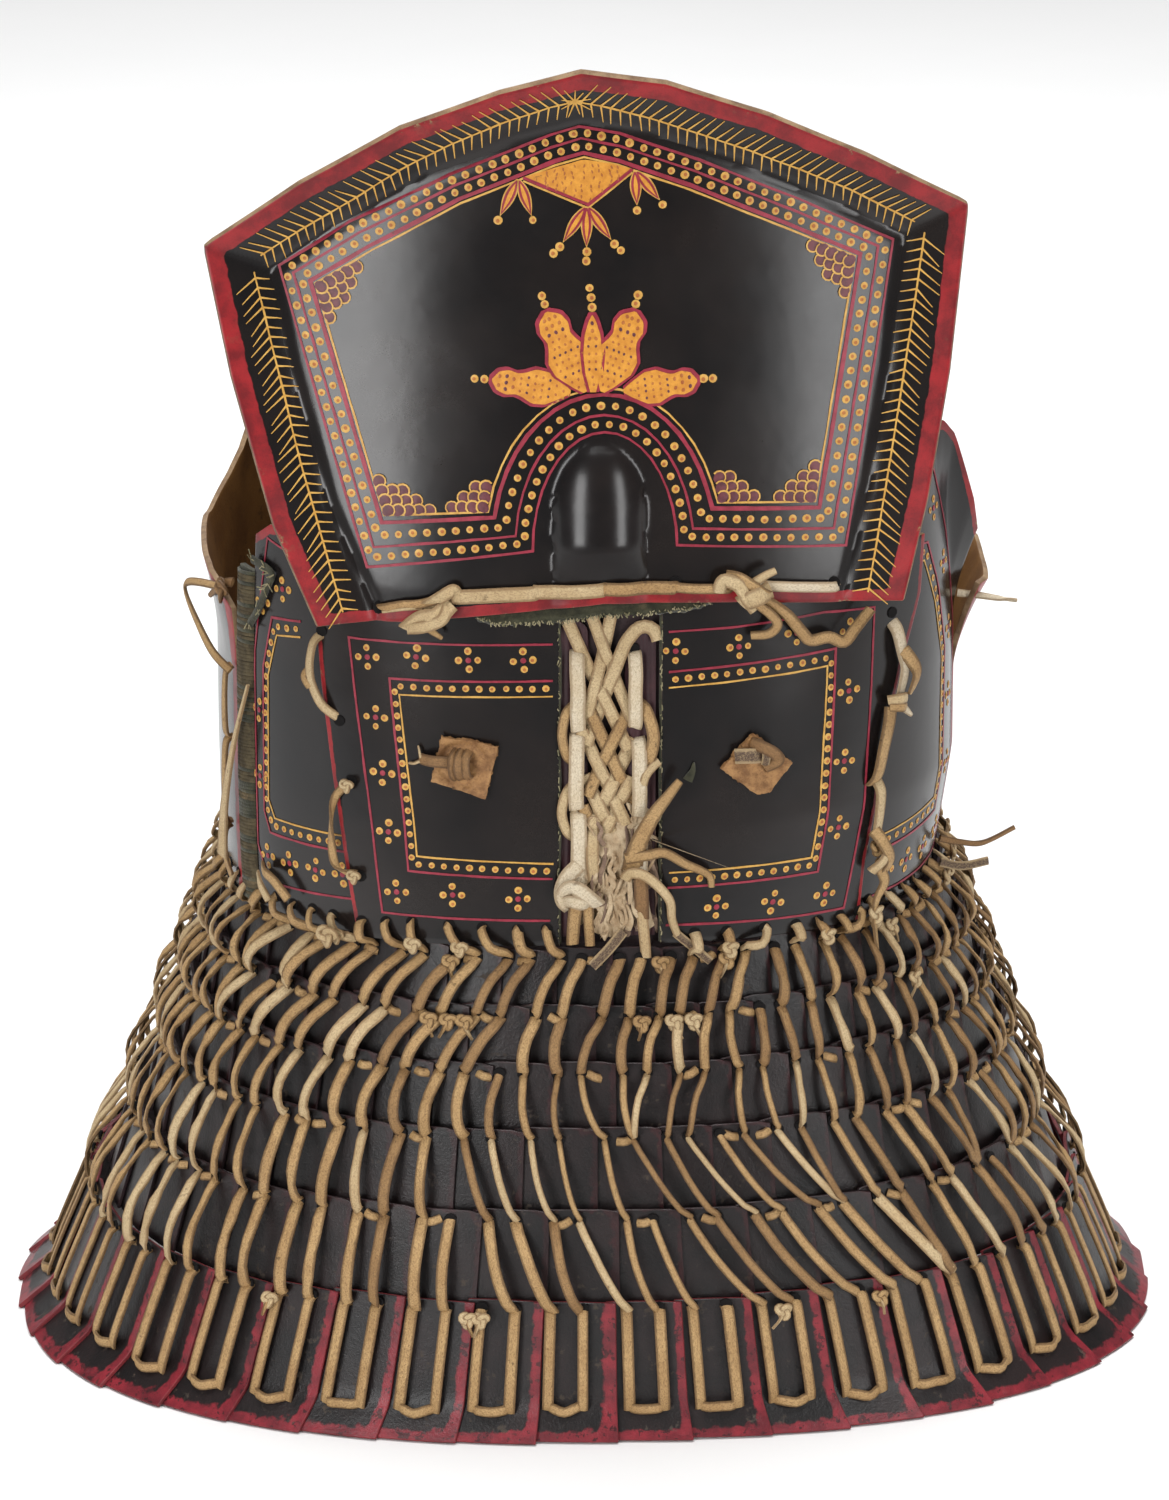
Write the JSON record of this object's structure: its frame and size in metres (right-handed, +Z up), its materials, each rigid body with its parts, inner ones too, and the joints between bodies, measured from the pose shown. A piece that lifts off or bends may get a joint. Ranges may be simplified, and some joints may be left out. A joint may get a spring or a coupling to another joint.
{
  "type": "lamellar hide cuirass",
  "caption": "Black lacquered hide cuirass with a dished top plate, laced waist panels and a flared skirt of lapped plates tied with rawhide thongs.",
  "frame": {"origin": "centre of the bounding box in plan, on the floor plane that the skirt's hem stands on", "axes": "+Z up, the painted side faces -Y, +X is to the right of someone looking at the painted side"},
  "size_m": [0.5766, 0.4234, 0.6702],
  "materials": {
    "lacquered_hide": "glossy black lacquer with painted red and yellow lines",
    "skirt_hide": "satin dark brown lacquer, red edges on the hem row",
    "strap_hide": "plain dark hide",
    "strip_hide": "dark purple-brown hide",
    "rawhide_thong": "dry tan rawhide",
    "pale_rawhide": "pale dry rawhide",
    "felt": "matted olive felt",
    "washer_hide": "raw brown hide"
  },
  "bodies": {
    "root": {"top_plate": "lacquered_hide", "front_panel_left": "lacquered_hide", "front_panel_right": "lacquered_hide", "side_panel_left": "lacquered_hide", "side_panel_right": "lacquered_hide", "back_shell": "lacquered_hide", "skirt_row_1": "skirt_hide", "skirt_row_2": "skirt_hide", "skirt_row_3": "skirt_hide", "skirt_row_4": "skirt_hide", "skirt_row_5": "skirt_hide", "skirt_row_6": "skirt_hide", "centre_backing": "skirt_hide", "shoulder_strap_left": "strap_hide", "shoulder_strap_right": "strap_hide", "lacing_strip_left": "strip_hide", "lacing_strip_right": "strip_hide", "plate_thong": "rawhide_thong", "edge_thong_left_high": "rawhide_thong", "edge_thong_left_low": "rawhide_thong", "edge_thong_right": "rawhide_thong", "running_thong_left": "pale_rawhide", "running_thong_right": "pale_rawhide", "braid": "pale_rawhide", "torn_hide": "pale_rawhide", "felt_under_plate": "felt", "side_binding": "felt", "washer_left": "washer_hide", "washer_right": "washer_hide"}
  },
  "joints": []
}
